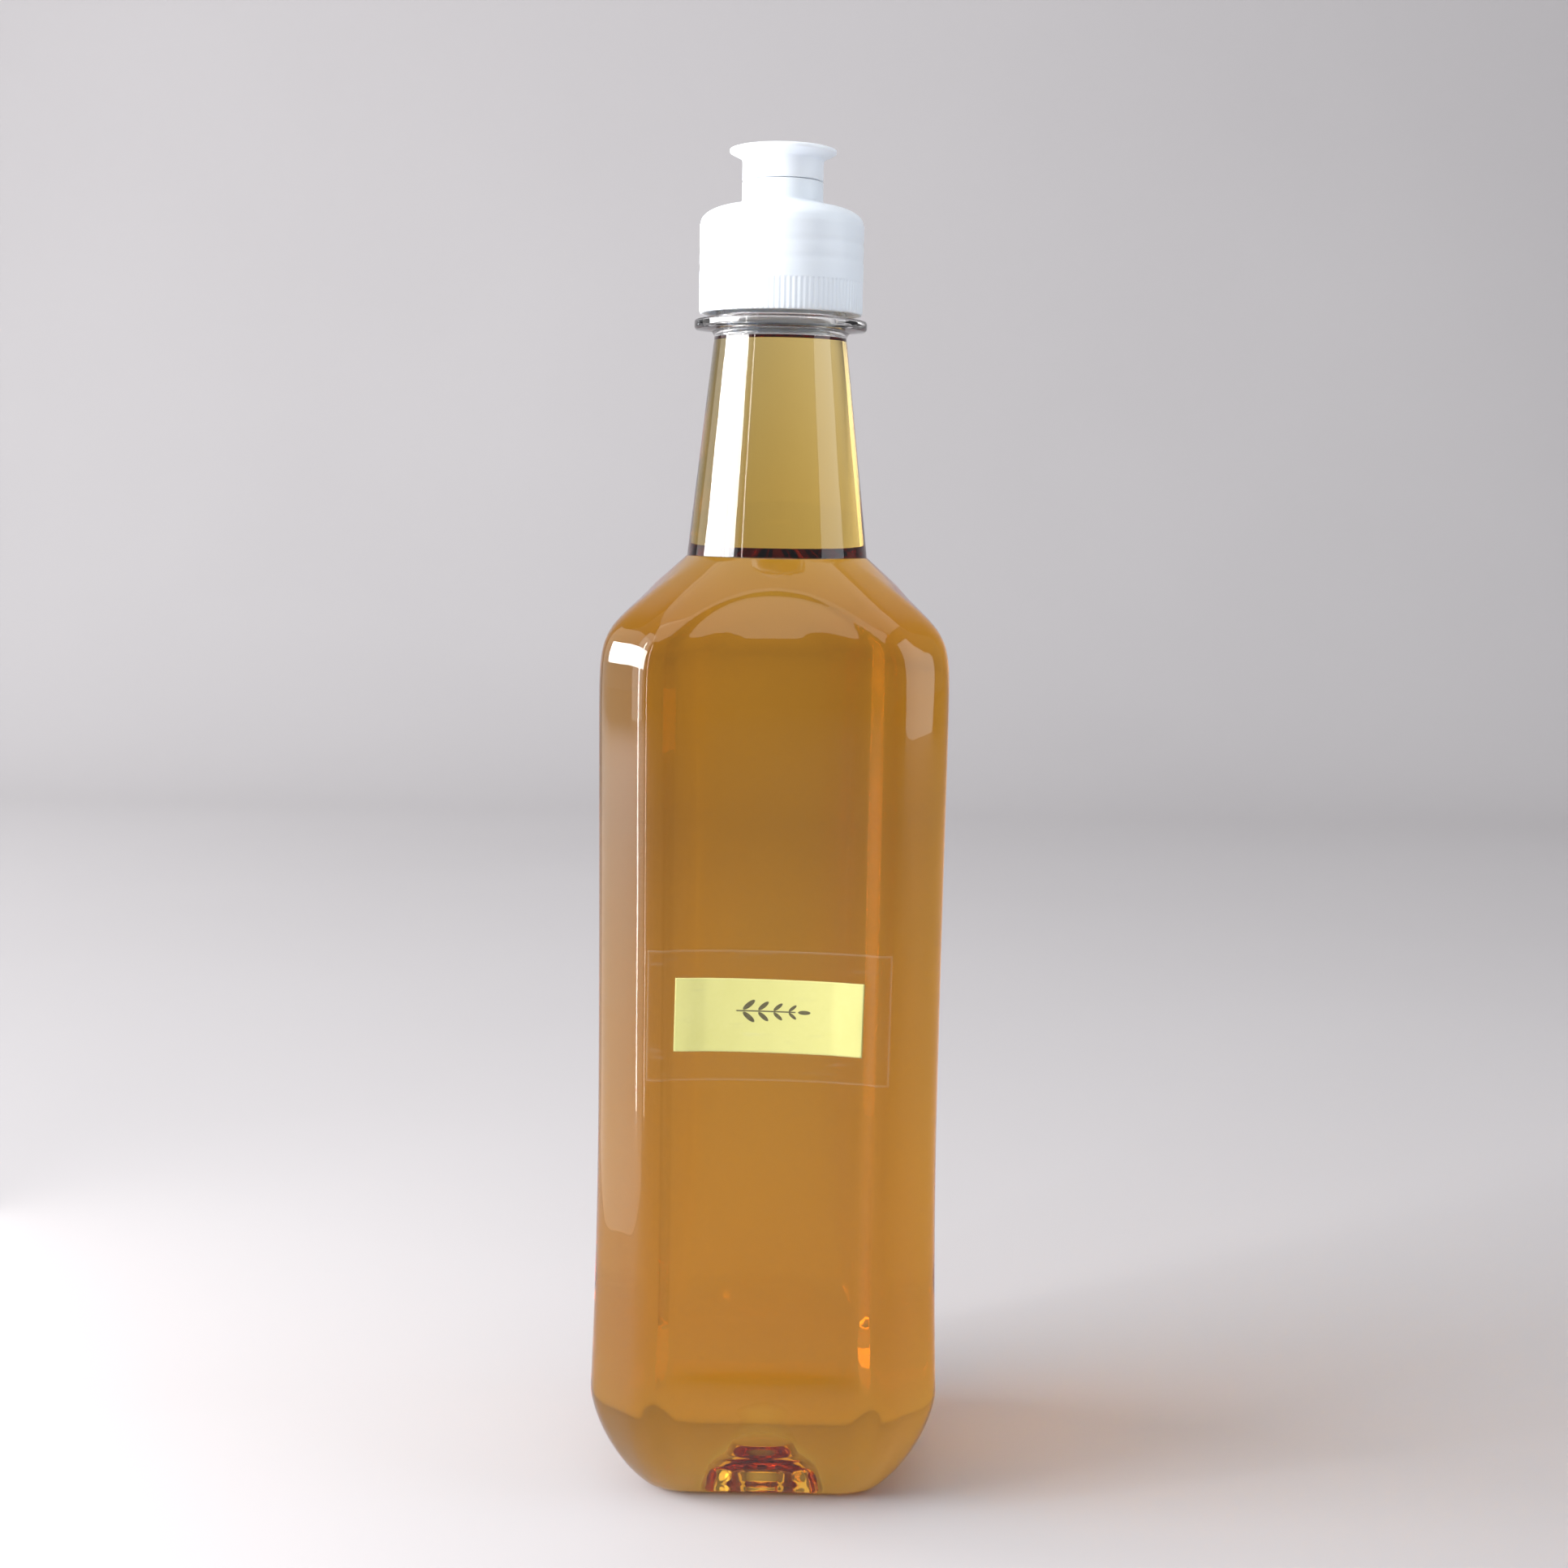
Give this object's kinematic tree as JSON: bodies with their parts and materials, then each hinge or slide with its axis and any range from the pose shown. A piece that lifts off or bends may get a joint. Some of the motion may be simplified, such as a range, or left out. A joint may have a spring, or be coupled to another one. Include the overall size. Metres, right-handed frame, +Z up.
{
  "type": "square oil bottle with push-pull cap",
  "caption": "Tall square clear plastic bottle of amber oil with chamfered corners, a tapering neck, a white screw cap with a pull-up pouring spout, and a small paper label.",
  "frame": {"origin": "centre of the base, at the level that the bottle stands on", "axes": "+Z up along the bottle's axis, and the label faces -Y"},
  "size_m": [0.067, 0.067, 0.2574],
  "materials": {
    "clear_plastic": "clear gloss",
    "oil": "clear amber liquid",
    "label_paper": "matt",
    "clear_tape": "clear gloss",
    "liner_foam": "matt foam",
    "white_plastic": "satin, slightly translucent"
  },
  "bodies": {
    "bottle": {"bottle": "clear_plastic", "oil": "oil", "label": "label_paper", "label_tape": "clear_tape"},
    "liner": {"cap_liner": "liner_foam"},
    "cap": {"cap_base": "white_plastic"},
    "spout": {"pull_spout": "white_plastic"}
  },
  "joints": [
    {"name": "cap_lift", "type": "slide", "parent": "bottle", "child": "liner", "axis": [0, 0, 1], "range_m": [0, 0.00509]},
    {"name": "cap_turn", "type": "hinge", "parent": "liner", "child": "cap", "pos_m": [0, 0, 0.235], "axis": [0, 0, 1], "range_deg": [0, 576]},
    {"name": "spout_pull", "type": "slide", "parent": "cap", "child": "spout", "axis": [0, 0, 1], "range_m": [0, 0.004]}
  ],
  "couplings": [
    {"joint": "cap_turn", "follows": "cap_lift", "rad_per_m": 1975.8}
  ]
}
